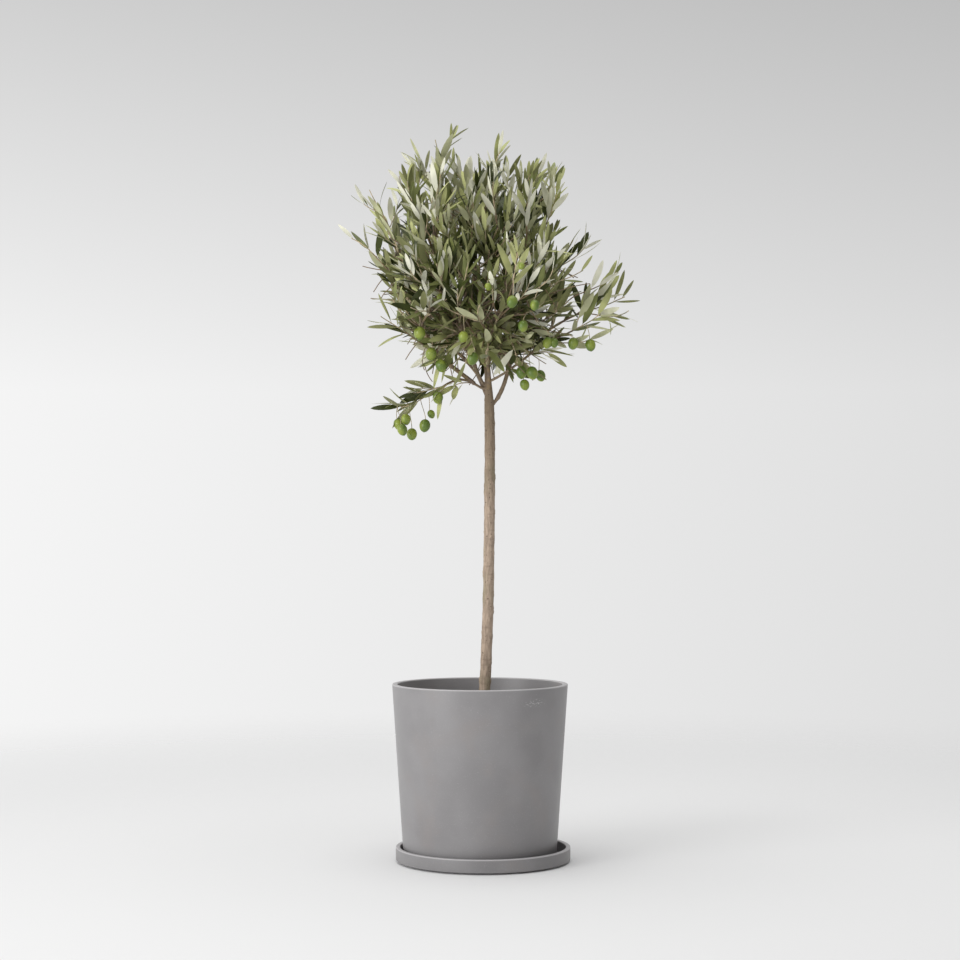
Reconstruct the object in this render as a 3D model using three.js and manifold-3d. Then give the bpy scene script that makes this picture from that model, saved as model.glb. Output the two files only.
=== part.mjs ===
// A potted olive tree: a standard with a clear stem and a round crown, in a tapered planter that
// stands in a shallow saucer. Millimetres, +Z up. The origin is on the underside of the saucer, on
// the planter's axis. +X is to the right and +Y to the back, seen from the front.
import * as THREE from "three";
import { mergeVertices } from "three/addons/utils/BufferGeometryUtils.js";
import Module from "manifold-3d";

const wasm = await Module();
wasm.setup();

// ---- Driving dimensions ----------------------------------------------------------------------

const GAP = 0.3; // clearance between pieces that touch
const LATHE_SIDES = 48;

const SAUCER = { radius: 154.5, height: 26, wall: 8, floor: 6, offset: 5.5, edge: 1.8 };
const PLANTER = { foot: 135.5, rim: 155.5, height: 307, wall: 9.5, floor: 14, lip: 3, heel: 5 };
// The soil's surface rises and falls by its lump, but is level close to the stem, which stands on
// it, and at the planter's wall.
const SOIL = { belowRim: 42, lump: 2.2, level: 34, blend: 30, edge: 1, sides: 36 };

const planterFoot = SAUCER.floor + GAP;
const planterRim = planterFoot + PLANTER.height;
const soilTop = planterRim - SOIL.belowRim;

// The stem is measured from the soil: its radii at the foot, below the forks, above them and at
// the tip, and the heights between which the forks narrow it.
const TRUNK = {
  foot: 9.9,
  clear: 9.1,
  leader: 5.8,
  tip: 4.8,
  flare: 3.4,
  flareHeight: 13,
  forksFrom: 520,
  forksTo: 580,
  height: 644,
  sides: 14,
  rings: 24,
};
const LIMB_SIDES = 8;
const LIMB_RINGS = 8;
const SOCKET = 0.5; // how much wider than its limb a socket in the foliage is
const trunkFoot = soilTop + GAP;

// The stem's line: it leans a little to the right as it leaves the soil, then runs straight up.
const trunkLine = new THREE.CatmullRomCurve3([
  new THREE.Vector3(7, 2, trunkFoot),
  new THREE.Vector3(11, 1, trunkFoot + 85),
  new THREE.Vector3(15, -1, trunkFoot + 210),
  new THREE.Vector3(17, 0, trunkFoot + 380),
  new THREE.Vector3(16.5, 1, trunkFoot + 530),
  new THREE.Vector3(10, 0, trunkFoot + TRUNK.height),
]);

// Boughs: from a fork inside the stem, through a bend, to where each is lost in the leaves, with
// their radii at the two ends.
const BOUGHS = [
  { name: "bough_right", from: [17, 1, 792], by: [42, 6, 842], to: [58, 12, 905], radii: [4.6, 3.2] },
  { name: "bough_left", from: [13, 0, 828], by: [-4, -4, 862], to: [-18, -10, 905], radii: [4.0, 3.0] },
  { name: "bough_back", from: [14, 2, 850], by: [10, 22, 878], to: [2, 44, 915], radii: [3.8, 2.8] },
  { name: "branch_low_left", from: [12, -1, 832], by: [-34, -16, 851], to: [-82, -30, 828], radii: [2.7, 1.9] },
  { name: "branch_low_right", from: [13, -3, 846], by: [44, -22, 862], to: [84, -36, 890], radii: [2.6, 1.9] },
];

// The crown is a heart with rings of masses round it, each ring shared out evenly from the right
// hand side. It stands higher on the left than on the right.
const CROWN = { x: -6, tilt: -0.13 };
const RINGS = [
  { level: "heart", z: 985, radius: 0, half: [86, 86, 92], detail: 2, places: ["low"] },
  { level: "heart", z: 1104, radius: 0, half: [92, 92, 84], detail: 2, places: ["high"] },
  {
    level: "waist",
    z: 1056,
    radius: 140,
    half: [90, 92, 88],
    detail: 3,
    places: ["right", "back_right", "back_left", "left", "front_left", "front_right"],
  },
  {
    level: "shoulder",
    z: 1170,
    radius: 88,
    half: [82, 82, 82],
    detail: 2,
    places: ["right", "back_right", "back_left", "front_left", "front_right"],
  },
  {
    level: "skirt",
    z: 950,
    radius: 104,
    half: [80, 80, 60],
    detail: 2,
    places: ["right", "back_right", "back_left", "front_left", "front_right"],
  },
];

// Sprays that stand out of the crown, and the one that hangs below it.
const SPRAYS = [
  { name: "spray_left", at: [-196, -18, 1132], half: [52, 46, 82] },
  { name: "spray_right", at: [214, -6, 1044], half: [54, 48, 56] },
  { name: "spray_low_right", at: [212, -30, 962], half: [74, 46, 46] },
  { name: "spray_low_left", at: [-110, -36, 806], half: [64, 46, 62] },
  { name: "spire_left", at: [-68, -12, 1266], half: [42, 38, 64] },
  { name: "spire_middle", at: [26, 6, 1246], half: [42, 38, 44] },
  { name: "spire_right", at: [118, 2, 1224], half: [46, 42, 38] },
];
const SPRAY_DETAIL = 2; // how often an icosahedron's edges are cut for a spray
const LUMPS = 0.1; // how uneven a mass is, as a share of its size

const MASSES = [
  ...RINGS.flatMap(({ level, z, radius, half, detail, places }) =>
    places.map((place, i) => {
      const angle = (2 * Math.PI * i) / places.length;
      const x = CROWN.x + radius * Math.cos(angle);
      const at = [x, radius * Math.sin(angle), z + CROWN.tilt * x];
      return { name: `${level}_${place}`, at, half, detail };
    }),
  ),
  ...SPRAYS.map((spray) => ({ ...spray, detail: SPRAY_DETAIL })),
];

// ---- Materials -------------------------------------------------------------------------------

const finish = (color, roughness) => new THREE.MeshStandardMaterial({ color, roughness, metalness: 0 });
const stoneware = finish(0x8c8a8a, 0.85);
const compost = finish(0x3a2c22, 1.0);
const bark = finish(0x8f8069, 0.85);
const foliage = finish(0x6e7a55, 0.7);

// ---- Solids ----------------------------------------------------------------------------------

// A geometry as a solid for cutting: its shared vertices are merged by place.
function solidOf(geometry) {
  const bare = geometry.clone().deleteAttribute("normal").deleteAttribute("uv");
  const merged = mergeVertices(bare, 1e-3);
  return new wasm.Manifold(
    new wasm.Mesh({
      numProp: 3,
      vertProperties: merged.attributes.position.array,
      triVerts: new Uint32Array(merged.index.array),
    }),
  );
}

function geometryOf(solid) {
  const cut = solid.getMesh();
  const geometry = new THREE.BufferGeometry();
  geometry.setAttribute("position", new THREE.BufferAttribute(cut.vertProperties, cut.numProp));
  geometry.setIndex(new THREE.BufferAttribute(cut.triVerts, 1));
  geometry.computeVertexNormals();
  return geometry;
}

function nodeOf(name, geometry, material) {
  const mesh = new THREE.Mesh(geometry, material);
  mesh.name = name;
  return mesh;
}

// Points of a quarter round from one angle to another, for the rounded edges of a profile.
function roundEdge(x, z, radius, fromDeg, toDeg, steps = 2) {
  const points = [];
  for (let i = 0; i <= steps; i++) {
    const angle = THREE.MathUtils.degToRad(fromDeg + ((toDeg - fromDeg) * i) / steps);
    points.push(new THREE.Vector2(x + radius * Math.cos(angle), z + radius * Math.sin(angle)));
  }
  return points;
}

// LatheGeometry turns its profile round +Y. This stands it up on +Z.
function turned(profile, sides = LATHE_SIDES) {
  return new THREE.LatheGeometry(profile, sides).rotateX(Math.PI / 2);
}

// ---- Planter, saucer and soil ----------------------------------------------------------------

function saucer() {
  const { radius, height, wall, floor, edge } = SAUCER;
  const inner = radius - wall;
  const profile = [
    new THREE.Vector2(0, 0),
    ...roundEdge(radius - edge, edge, edge, -90, 0),
    ...roundEdge(radius - edge, height - edge, edge, 0, 90),
    ...roundEdge(inner + edge, height - edge, edge, 90, 180),
    new THREE.Vector2(inner, floor + edge),
    new THREE.Vector2(inner - edge, floor),
    new THREE.Vector2(0, floor),
  ];
  const mesh = nodeOf("saucer", turned(profile), stoneware);
  mesh.position.x = SAUCER.offset;
  return mesh;
}

// The planter's outer radius at a height above its own foot.
const planterRadius = (z) => THREE.MathUtils.lerp(PLANTER.foot, PLANTER.rim, z / PLANTER.height);

function planter() {
  const { height, wall, floor, lip, heel } = PLANTER;
  const profile = [
    new THREE.Vector2(0, 0),
    ...roundEdge(planterRadius(heel) - heel, heel, heel, -90, 0),
    ...roundEdge(planterRadius(height) - lip, height - lip, lip, 0, 90),
    ...roundEdge(planterRadius(height) - wall + lip, height - lip, lip, 90, 180),
    new THREE.Vector2(planterRadius(floor) - wall, floor),
    new THREE.Vector2(0, floor),
  ];
  const mesh = nodeOf("planter", turned(profile), stoneware);
  mesh.position.z = planterFoot;
  return mesh;
}

function soil() {
  const foot = PLANTER.floor + GAP;
  const top = soilTop - planterFoot;
  const inner = (z) => planterRadius(z) - PLANTER.wall - 2 * GAP;
  const rings = [1, 0.8, 0.6, 0.4, 0.2, 0];
  const profile = [
    new THREE.Vector2(0, foot),
    new THREE.Vector2(inner(foot), foot),
    new THREE.Vector2(inner(top - SOIL.edge), top - SOIL.edge),
    ...rings.map((share) => new THREE.Vector2((inner(top) - SOIL.edge) * share, top)),
  ];
  const geometry = turned(profile, SOIL.sides);
  const place = geometry.attributes.position;
  const stem = trunkLine.points[0];
  for (let i = 0; i < place.count; i++) {
    if (place.getZ(i) < top) continue;
    const x = place.getX(i);
    const y = place.getY(i);
    const toStem = Math.hypot(x - stem.x, y - stem.y) - SOIL.level;
    const toWall = inner(top) - Math.hypot(x, y) - SOIL.edge;
    const free = [toStem, toWall].map((away) => THREE.MathUtils.smoothstep(away, 0, SOIL.blend));
    const wave = Math.sin(x * 0.041 + 1) * Math.cos(y * 0.053) + 0.5 * Math.sin((x + y) * 0.09);
    place.setZ(i, top + free[0] * free[1] * SOIL.lump * wave);
  }
  const mesh = nodeOf("soil", geometry, compost);
  mesh.position.z = planterFoot;
  return mesh;
}

// ---- Trunk and boughs ------------------------------------------------------------------------

// A closed tapering limb: a capped cylinder laid along a curve, as wide at each share of the
// curve's length as radiusAt says. levelFoot turns the first ring level, for a flat cut.
function limb(curve, radiusAt, sides, rings, levelFoot = false) {
  const geometry = new THREE.CylinderGeometry(1, 1, 1, sides, rings);
  const frames = curve.computeFrenetFrames(rings);
  if (levelFoot) {
    frames.normals[0].setZ(0).normalize();
    frames.binormals[0].crossVectors(new THREE.Vector3(0, 0, 1), frames.normals[0]);
  }
  const place = geometry.attributes.position;
  for (let i = 0; i < place.count; i++) {
    const ring = Math.round((place.getY(i) + 0.5) * rings);
    const share = ring / rings;
    const centre = curve.getPointAt(share);
    centre.addScaledVector(frames.normals[ring], place.getZ(i) * radiusAt(share));
    centre.addScaledVector(frames.binormals[ring], place.getX(i) * radiusAt(share));
    place.setXYZ(i, centre.x, centre.y, centre.z);
  }
  return geometry;
}

// The stem's radius: a short root flare at the soil, a long even taper to the forks, and a
// quicker one across them to the leader and its tip.
function trunkRadius(share, extra = 0) {
  const height = share * trunkLine.getLength();
  const flare = TRUNK.flare * Math.exp(-height / TRUNK.flareHeight);
  const clear = THREE.MathUtils.lerp(TRUNK.foot, TRUNK.clear, Math.min(1, height / TRUNK.forksFrom));
  const leader = THREE.MathUtils.mapLinear(height, TRUNK.forksTo, TRUNK.height, TRUNK.leader, TRUNK.tip);
  const forked = THREE.MathUtils.smoothstep(height, TRUNK.forksFrom, TRUNK.forksTo);
  return flare + THREE.MathUtils.lerp(clear, leader, forked) + extra;
}

const trunkSolid = (extra = 0) =>
  solidOf(limb(trunkLine, (share) => trunkRadius(share, extra), TRUNK.sides, TRUNK.rings, true));

function boughSolid({ from, by, to, radii }, extra = 0) {
  const line = new THREE.CatmullRomCurve3([from, by, to].map((p) => new THREE.Vector3(...p)));
  const radiusAt = (share) => THREE.MathUtils.lerp(...radii, share) + extra;
  return solidOf(limb(line, radiusAt, LIMB_SIDES, LIMB_RINGS));
}

// Each bough starts inside the stem, so it is cut back to the stem's surface and to the boughs
// before it.
function woodSolids() {
  const wood = [{ name: "trunk", solid: trunkSolid(), wide: trunkSolid(SOCKET) }];
  for (const bough of BOUGHS) {
    let solid = boughSolid(bough);
    for (const other of wood) solid = solid.subtract(other.wide);
    const [whole] = solid.decompose().sort((a, b) => b.volume() - a.volume());
    wood.push({ name: bough.name, solid: whole, wide: boughSolid(bough, SOCKET) });
  }
  return wood;
}

// ---- Foliage ---------------------------------------------------------------------------------

const size = (mass) => Math.cbrt(mass.half[0] * mass.half[1] * mass.half[2]);

// How far a mass reaches in one direction: its own uneven ellipsoid, or the plane where it meets
// a neighbour if that is nearer.
function reach(mass, index, way) {
  const [a, b, c] = mass.half;
  const smooth = 1 / Math.hypot(way.x / a, way.y / b, way.z / c);
  const turn = index * 1.7;
  const waves =
    Math.sin(3.7 * way.x + turn) * Math.cos(3.1 * way.y - turn) +
    0.7 * Math.sin(5.3 * way.z + 2.9 * way.x + 2 * turn) +
    0.5 * Math.sin(7.1 * way.y - 4.7 * way.z + 3 * turn);
  let far = smooth * (1 + LUMPS * waves);
  for (const other of MASSES) {
    if (other === mass) continue;
    const to = new THREE.Vector3(...other.at).sub(new THREE.Vector3(...mass.at));
    const apart = to.length();
    const plane = (apart ** 2 + size(mass) ** 2 - size(other) ** 2) / (2 * apart) - GAP / 2;
    const towards = way.dot(to) / apart;
    if (towards > 0) far = Math.min(far, plane / towards);
  }
  return far;
}

function massSolid(mass, index) {
  const geometry = new THREE.IcosahedronGeometry(1, mass.detail);
  const place = geometry.attributes.position;
  const centre = new THREE.Vector3(...mass.at);
  for (let i = 0; i < place.count; i++) {
    const way = new THREE.Vector3().fromBufferAttribute(place, i).normalize();
    const point = centre.clone().addScaledVector(way, reach(mass, index, way));
    place.setXYZ(i, point.x, point.y, point.z);
  }
  return solidOf(geometry);
}

// ---- Assembly --------------------------------------------------------------------------------

const tree = new THREE.Group();
tree.add(saucer(), planter(), soil());
const wood = woodSolids();
for (const { name, solid } of wood) tree.add(nodeOf(name, geometryOf(solid), bark));
MASSES.forEach((mass, index) => {
  let solid = massSolid(mass, index);
  for (const { wide } of wood) solid = solid.subtract(wide);
  const [whole] = solid.decompose().sort((a, b) => b.volume() - a.volume());
  tree.add(nodeOf(mass.name, geometryOf(whole), foliage));
});

export default tree;
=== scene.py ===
"""A young standard olive tree in a stoneware planter that stands in a saucer.

Metres, +Z up, +X to the right and +Y to the back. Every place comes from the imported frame. The
tree grows by a seeded rule: boughs run from the ends of the frame's limbs to each mass of its
crown, shoots run on from them to tips scattered through the masses, side shoots leave those, and
pairs of leaves stand along them all.
"""

import math

import bmesh
import bpy
import numpy as np
from mathutils import Matrix, Vector, noise
from mathutils.bvhtree import BVHTree
from mathutils.kdtree import KDTree


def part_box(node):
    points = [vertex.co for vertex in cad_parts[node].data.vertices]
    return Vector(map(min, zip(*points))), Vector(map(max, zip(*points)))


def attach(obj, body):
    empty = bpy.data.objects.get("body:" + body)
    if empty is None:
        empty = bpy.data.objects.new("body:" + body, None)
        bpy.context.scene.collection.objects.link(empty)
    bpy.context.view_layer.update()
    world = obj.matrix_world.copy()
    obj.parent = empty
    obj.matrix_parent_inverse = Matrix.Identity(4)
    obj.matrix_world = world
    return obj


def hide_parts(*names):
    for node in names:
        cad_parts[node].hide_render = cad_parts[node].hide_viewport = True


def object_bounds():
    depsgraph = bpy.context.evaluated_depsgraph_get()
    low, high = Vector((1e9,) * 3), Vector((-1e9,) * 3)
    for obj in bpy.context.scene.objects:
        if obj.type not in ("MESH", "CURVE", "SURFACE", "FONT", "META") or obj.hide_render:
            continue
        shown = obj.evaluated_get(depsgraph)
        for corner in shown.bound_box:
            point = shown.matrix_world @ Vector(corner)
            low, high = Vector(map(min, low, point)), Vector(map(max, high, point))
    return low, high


bl_info = {
    "name": "Potted olive tree",
    "version": (1, 0, 0),
    "blender": (4, 5, 0),
    "location": "3D View > Sidebar > Olive tree",
    "description": "A standard olive tree with its leaves, fruit, planter and saucer",
    "category": "Add Mesh",
}

MM = 0.001
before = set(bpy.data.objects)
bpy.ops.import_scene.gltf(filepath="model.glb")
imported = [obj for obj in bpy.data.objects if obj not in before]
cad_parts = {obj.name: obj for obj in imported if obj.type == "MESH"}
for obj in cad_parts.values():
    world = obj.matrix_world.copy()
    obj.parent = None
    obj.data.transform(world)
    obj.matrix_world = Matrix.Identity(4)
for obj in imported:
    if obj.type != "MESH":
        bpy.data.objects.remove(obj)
cad_low, cad_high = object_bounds()
noise.seed_set(1)  # noise_vector otherwise gives other values in each run

LIMBS = ["trunk"] + sorted(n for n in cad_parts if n.startswith(("bough_", "branch_")))
POTTERY = ["planter", "saucer", "soil"]
MASSES = sorted(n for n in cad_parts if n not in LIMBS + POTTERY)
OUTLYING = [n for n in MASSES if n.startswith(("spire_", "spray_"))]
UP = np.array([0.0, 0.0, 1.0])


# ---- Settings ---------------------------------------------------------------------------------


def linear(code):
    """An sRGB hex colour, such as 8c8a89, as linear red, green, blue and alpha."""
    shares = [int(code[i : i + 2], 16) / 255 for i in (0, 2, 4)]
    return [s / 12.92 if s <= 0.04045 else ((s + 0.055) / 1.055) ** 2.4 for s in shares] + [1.0]


def length(name, description, mm):
    return bpy.props.FloatProperty(
        name=name, description=description, default=mm * MM, min=0, unit="LENGTH", precision=4
    )


def colour(name, description, code):
    return bpy.props.FloatVectorProperty(
        name=name, description=description, default=linear(code), size=4, subtype="COLOR", min=0, max=1
    )


def share(name, description, value):
    return bpy.props.FloatProperty(
        name=name, description=description, default=value, min=0, max=1, subtype="FACTOR"
    )


def number(name, description, value):
    return bpy.props.IntProperty(name=name, description=description, default=value, min=1)


class PotterySettings(bpy.types.PropertyGroup):
    """Sizes of the planter and the saucer that their boxes in the frame don't give."""

    foot: share("Planter foot", "Width of the planter's foot, as a share of its rim's", 0.871)
    wall: length("Planter wall", "Thickness of the planter's wall", 9.5)
    floor: length("Planter floor", "Thickness of the planter's floor", 14)
    lip: length("Lip", "Radius of the rounded edges", 1.9)
    recess: length("Foot recess", "Height of the recess under each foot", 3.2)
    saucer_wall: length("Saucer wall", "Thickness of the saucer's wall", 8)
    saucer_floor: length("Saucer floor", "Thickness of the saucer's floor", 6)
    saucer_lip: length("Saucer lip", "Radius of the saucer's rounded edges", 1.7)
    clay: colour("Clay", "Colour of the fired clay", "918f90")
    clay_dark: colour("Dark clay", "Colour of its darker mottling", "807e7f")
    clay_warm: colour("Warm clay", "Colour of its warmer mottling", "928b88")
    saucer_tone: share("Saucer tone", "Brightness of the saucer's clay beside the planter's", 0.88)
    # the scuff colour also paints the painted highlight along the rims' tops
    scuff_and_rim_highlight: colour("Scuff", "Colour of a rubbed mark", "cbc9ca")


class SoilSettings(bpy.types.PropertyGroup):
    """The compost's surface."""

    grain: length("Grain", "How far the surface rises and falls", 3)
    crumbs: number("Crumbs", "How many loose crumbs lie on it", 700)
    dark: colour("Dark", "Colour of damp compost", "2b1f17")
    light: colour("Light", "Colour of dry compost", "5b4634")


class WoodSettings(bpy.types.PropertyGroup):
    """The stem's and boughs' bark."""

    voxel: length("Voxel", "Size of the faces that carry the bark's relief", 0.9)
    relief: length("Relief", "Depth of the bark's furrows on the stem", 0.42)
    knots: number("Knots", "How many old leaf and twig scars the stem carries", 20)
    stubs: number("Stubs", "How many cut side twigs the stem carries", 7)
    bark: colour("Bark", "Colour of the young bark", "bda996")
    bark_dark: colour("Dark bark", "Colour in its furrows", "7a6a5e")
    scar: colour("Scar", "Colour of pits and old scars in the bark", "4b3f33")
    bark_green: colour("Green bark", "Colour of its greenish film", "918b70")
    bark_red: colour("Red bark", "Colour of the bark near the fork", "7d6d59")
    twig: colour("Twig", "Colour of a bare inner twig", "8c795c")
    shoot: colour("Shoot", "Colour of a young leafy shoot", "cbb798")


class GrowthSettings(bpy.types.PropertyGroup):
    """The branching rule."""

    seed: number("Seed", "Number that sets every random choice", 102)
    spacing: length("Spacing", "Least distance between two shoots' tips", 45)
    inset: length("Inset", "How far a shoot's tip stays inside the crown's outline", 40)
    step: length("Step", "Distance between the points of a shoot", 8)
    reach: length("Reach", "Usual length of a shoot", 105)
    node_gap: length("Node gap", "Distance from one pair of leaves to the next", 14)
    tip_radius: length("Tip radius", "Radius of a shoot's tip", 0.8)
    spurs: number("Spurs", "How many bare twigs fill the crown's foot", 340)
    overhang: length("Overhang", "How far a leaf may reach past the plant's own box", 12)


class LeafSettings(bpy.types.PropertyGroup):
    """One leaf."""

    length: length("Length", "Length of a full-grown leaf with its stalk", 55)
    slimness: share("Slimness", "Width of a leaf, as a share of its length", 0.2)
    thickness: length("Thickness", "Thickness at the midrib", 0.5)
    top_old: colour("Old leaf", "Upper side of an old leaf", "363d15")
    top_mid: colour("Leaf", "Upper side of a leaf", "747a47")
    top_new: colour("New leaf", "Upper side of a young leaf", "adb078")
    under_old: colour("Old underside", "Underside of an old leaf", "85875c")
    under_mid: colour("Underside", "Underside of a leaf", "bcbd98")
    under_pale: colour("Pale underside", "Underside of a young leaf", "e6e5d1")


class FruitSettings(bpy.types.PropertyGroup):
    """One olive."""

    length: length("Length", "Length of an olive", 21)
    width: length("Width", "Width of an olive", 17.5)
    ripe: colour("Ripening", "Colour on an olive's sunny side", "8e9c3c")
    green: colour("Green", "Colour of an olive", "5c742b")


class StageSettings(bpy.types.PropertyGroup):
    """Floor, light and camera."""

    distance: length("Distance", "How far the camera stands in front of the stem", 3500)
    height: length("Height", "Height of the camera", 582)
    lens: bpy.props.FloatProperty(name="Lens", description="Focal length, mm", default=74.1)
    rise: bpy.props.FloatProperty(name="Rise", description="Vertical shift", default=0.054)
    key: bpy.props.FloatProperty(name="Key", description="Power of the main light, W", default=60)
    overhead: bpy.props.FloatProperty(name="Overhead", description="Power from above, W", default=42)
    paper: colour("Paper", "Colour of the floor", "f3f3f3")
    low_sky: colour("Low backdrop", "Colour of the backdrop near the floor", "efefef")
    high_sky: colour("High backdrop", "Colour of the backdrop above the tree", "c2c2c2")


# ---- Meshes and materials ---------------------------------------------------------------------


def unit(v):
    return v / max(np.linalg.norm(v), 1e-9)


def smooth(low, high, value):
    t = min(max((value - low) / (high - low), 0), 1)
    return t * t * (3 - 2 * t)


def finish_piece(piece, nodes=()):
    """Lets the piece ride on the plant's body and stand for its nodes."""
    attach(piece, "root")
    if nodes:
        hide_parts(*nodes)


def mesh_piece(name, points, faces, materials, kinds=None):
    """A piece from arrays: its points, its faces and, for each face, the number of its material."""
    mesh = bpy.data.meshes.new(name)
    mesh.from_pydata(points, [], faces)
    piece = bpy.data.objects.new(name, mesh)
    bpy.context.scene.collection.objects.link(piece)
    for material in materials:
        mesh.materials.append(material)
    if kinds is not None:
        mesh.polygons.foreach_set("material_index", kinds)
    mesh.update()
    return piece


def only(piece):
    """Makes the piece the only selected and active object."""
    bpy.ops.object.select_all(action="DESELECT")
    piece.select_set(True)
    bpy.context.view_layer.objects.active = piece


def shade(piece, degrees):
    only(piece)
    bpy.ops.object.shade_smooth_by_angle(angle=math.radians(degrees))


def apply_modifier(piece, kind, **settings):
    modifier = piece.modifiers.new(kind.title(), kind)
    for key, value in settings.items():
        setattr(modifier, key, value)
    only(piece)
    bpy.ops.object.modifier_apply(modifier=modifier.name)


def add(tree, kind, inputs=None, **settings):
    """Adds a node, with its settings, and fills each input with a value or a link."""
    made = tree.nodes.new(kind)
    for key, value in settings.items():
        setattr(made, key, value)
    for key, value in (inputs or {}).items():
        if isinstance(value, bpy.types.NodeSocket):
            tree.links.new(value, made.inputs[key])
        else:
            made.inputs[key].default_value = value
    return made


def new_material(name, roughness, specular):
    """A material with its shader, and the coordinates that its patterns read."""
    material = bpy.data.materials.new(name)
    material.use_nodes = True
    tree = material.node_tree
    shader = tree.nodes["Principled BSDF"]
    shader.inputs["Roughness"].default_value = roughness
    shader.inputs["Specular IOR Level"].default_value = specular
    place = add(tree, "ShaderNodeTexCoord").outputs["Object"]
    return material, tree, shader, place


def speckle(tree, place, size, detail=3, stretch=(1, 1, 1), low=0.35, high=0.65):
    """Spots from 0 to 1, about size metres wide and stretched along each axis. A higher low and
    high leave fewer of them."""
    inputs = {"Vector": place, "Scale": [1 / s for s in stretch]}
    stretched = add(tree, "ShaderNodeMapping", inputs).outputs[0]
    inputs = {"Vector": stretched, "Scale": 1 / size, "Detail": detail}
    grain = add(tree, "ShaderNodeTexNoise", inputs).outputs["Fac"]
    inputs = {"Value": grain, "From Min": low, "From Max": high}
    return add(tree, "ShaderNodeMapRange", inputs, interpolation_type="SMOOTHSTEP").outputs[0]


def laid_over(tree, base, colour, pattern, strength=1.0):
    """The base with another colour laid over it where the pattern shows, up to a strength."""
    amount = add(tree, "ShaderNodeMath", {0: pattern, 1: strength}, operation="MULTIPLY").outputs[0]
    return add(tree, "ShaderNodeMix", {0: amount, 6: base, 7: colour}, data_type="RGBA").outputs[2]


def fine_relief(tree, shader, place, grain, detail, depth, strength=1.0):
    """Roughens the surface with bumps about as wide as the grain."""
    bumps = add(tree, "ShaderNodeTexNoise", {"Vector": place, "Scale": 1 / grain, "Detail": detail})
    inputs = {"Height": bumps.outputs["Fac"], "Distance": depth, "Strength": strength}
    facing = add(tree, "ShaderNodeBump", inputs).outputs[0]
    tree.links.new(facing, shader.inputs["Normal"])


# ---- Planter and saucer -----------------------------------------------------------------------

ROUND = 128  # sides of a turned piece
SCUFF_AT = (0.80, 0.11)  # the rubbed patch, as shares of the planter's box across and deep
SCUFF_DROP = 24 * MM  # how far below the rim the patch is
SCUFF_SPREAD = (40, 20, 110)  # how fast it ends along each axis, for each metre
RIM_HIGHLIGHT_BAND = (2.2 * MM, 0.8 * MM)  # where the rim's paler band, a painted highlight, starts and is full, below its top


def stoneware(settings, node, tone):
    """Fired stoneware, unglazed and rubbed smooth: a low sheen that shows towards its sides, a
    little mottling, a fine grit and a painted highlight, a paler band along the top of the rim."""
    material, tree, shader, place = new_material(f"unglazed_stoneware_{node}", 0.4, 0.4)
    clay, dark, warmer = [
        [part * tone for part in colour[:3]] + [1]
        for colour in (settings.clay, settings.clay_dark, settings.clay_warm)
    ]
    scuff_and_rim_highlight = list(settings.scuff_and_rim_highlight)
    clouds = speckle(tree, place, 90 * MM)
    warm = speckle(tree, place, 60 * MM, 2, low=0.5, high=0.8)
    grit = speckle(tree, place, 1.6 * MM, 2, low=0.62, high=0.72)
    base = laid_over(tree, clay, dark, clouds, 0.5)
    base = laid_over(tree, base, warmer, warm, 0.4)
    base = laid_over(tree, base, scuff_and_rim_highlight, grit, 0.16)
    base = laid_over(tree, base, scuff_and_rim_highlight, scrapes(tree, place), 0.7)
    # painted highlight: a paler band along the rim's top, in the scuff colour, stands for the light it
    # catches
    base = laid_over(tree, base, scuff_and_rim_highlight, painted_rim_highlight(tree, place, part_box(node)[1].z), 0.65)
    tree.links.new(base, shader.inputs["Base Color"])
    fine_relief(tree, shader, place, 1.1 * MM, 4, 0.12 * MM, 0.5)
    return material


def scrapes(tree, place):
    """Fine scrapes in one small patch below the planter's rim."""
    low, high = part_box("planter")
    across, deep = SCUFF_AT
    middle = (low.x + across * (high.x - low.x), low.y + deep * (high.y - low.y), high.z - SCUFF_DROP)
    near = add(tree, "ShaderNodeVectorMath", {0: place, 1: middle}, operation="SUBTRACT").outputs[0]
    near = add(tree, "ShaderNodeVectorMath", {0: near, 1: SCUFF_SPREAD}, operation="MULTIPLY")
    away = add(tree, "ShaderNodeVectorMath", {0: near.outputs[0]}, operation="LENGTH")
    inputs = {"Value": away.outputs["Value"], "From Min": 1.1, "From Max": 0.3}
    patch = add(tree, "ShaderNodeMapRange", inputs, interpolation_type="SMOOTHSTEP").outputs[0]
    specks = speckle(tree, place, 1.7 * MM, 2, stretch=(2, 2, 1), low=0.56, high=0.64)
    return add(tree, "ShaderNodeMath", {0: patch, 1: specks}, operation="MULTIPLY").outputs[0]


def painted_rim_highlight(tree, place, top):
    """1 along a rim whose top is at a height, and 0 below it: where the rim's painted highlight lies.
    """
    height = add(tree, "ShaderNodeSeparateXYZ", {0: place}).outputs["Z"]
    inputs = {"Value": height, "From Min": top - RIM_HIGHLIGHT_BAND[0], "From Max": top - RIM_HIGHLIGHT_BAND[1]}
    return add(tree, "ShaderNodeMapRange", inputs, interpolation_type="SMOOTHSTEP").outputs[0]


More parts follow.
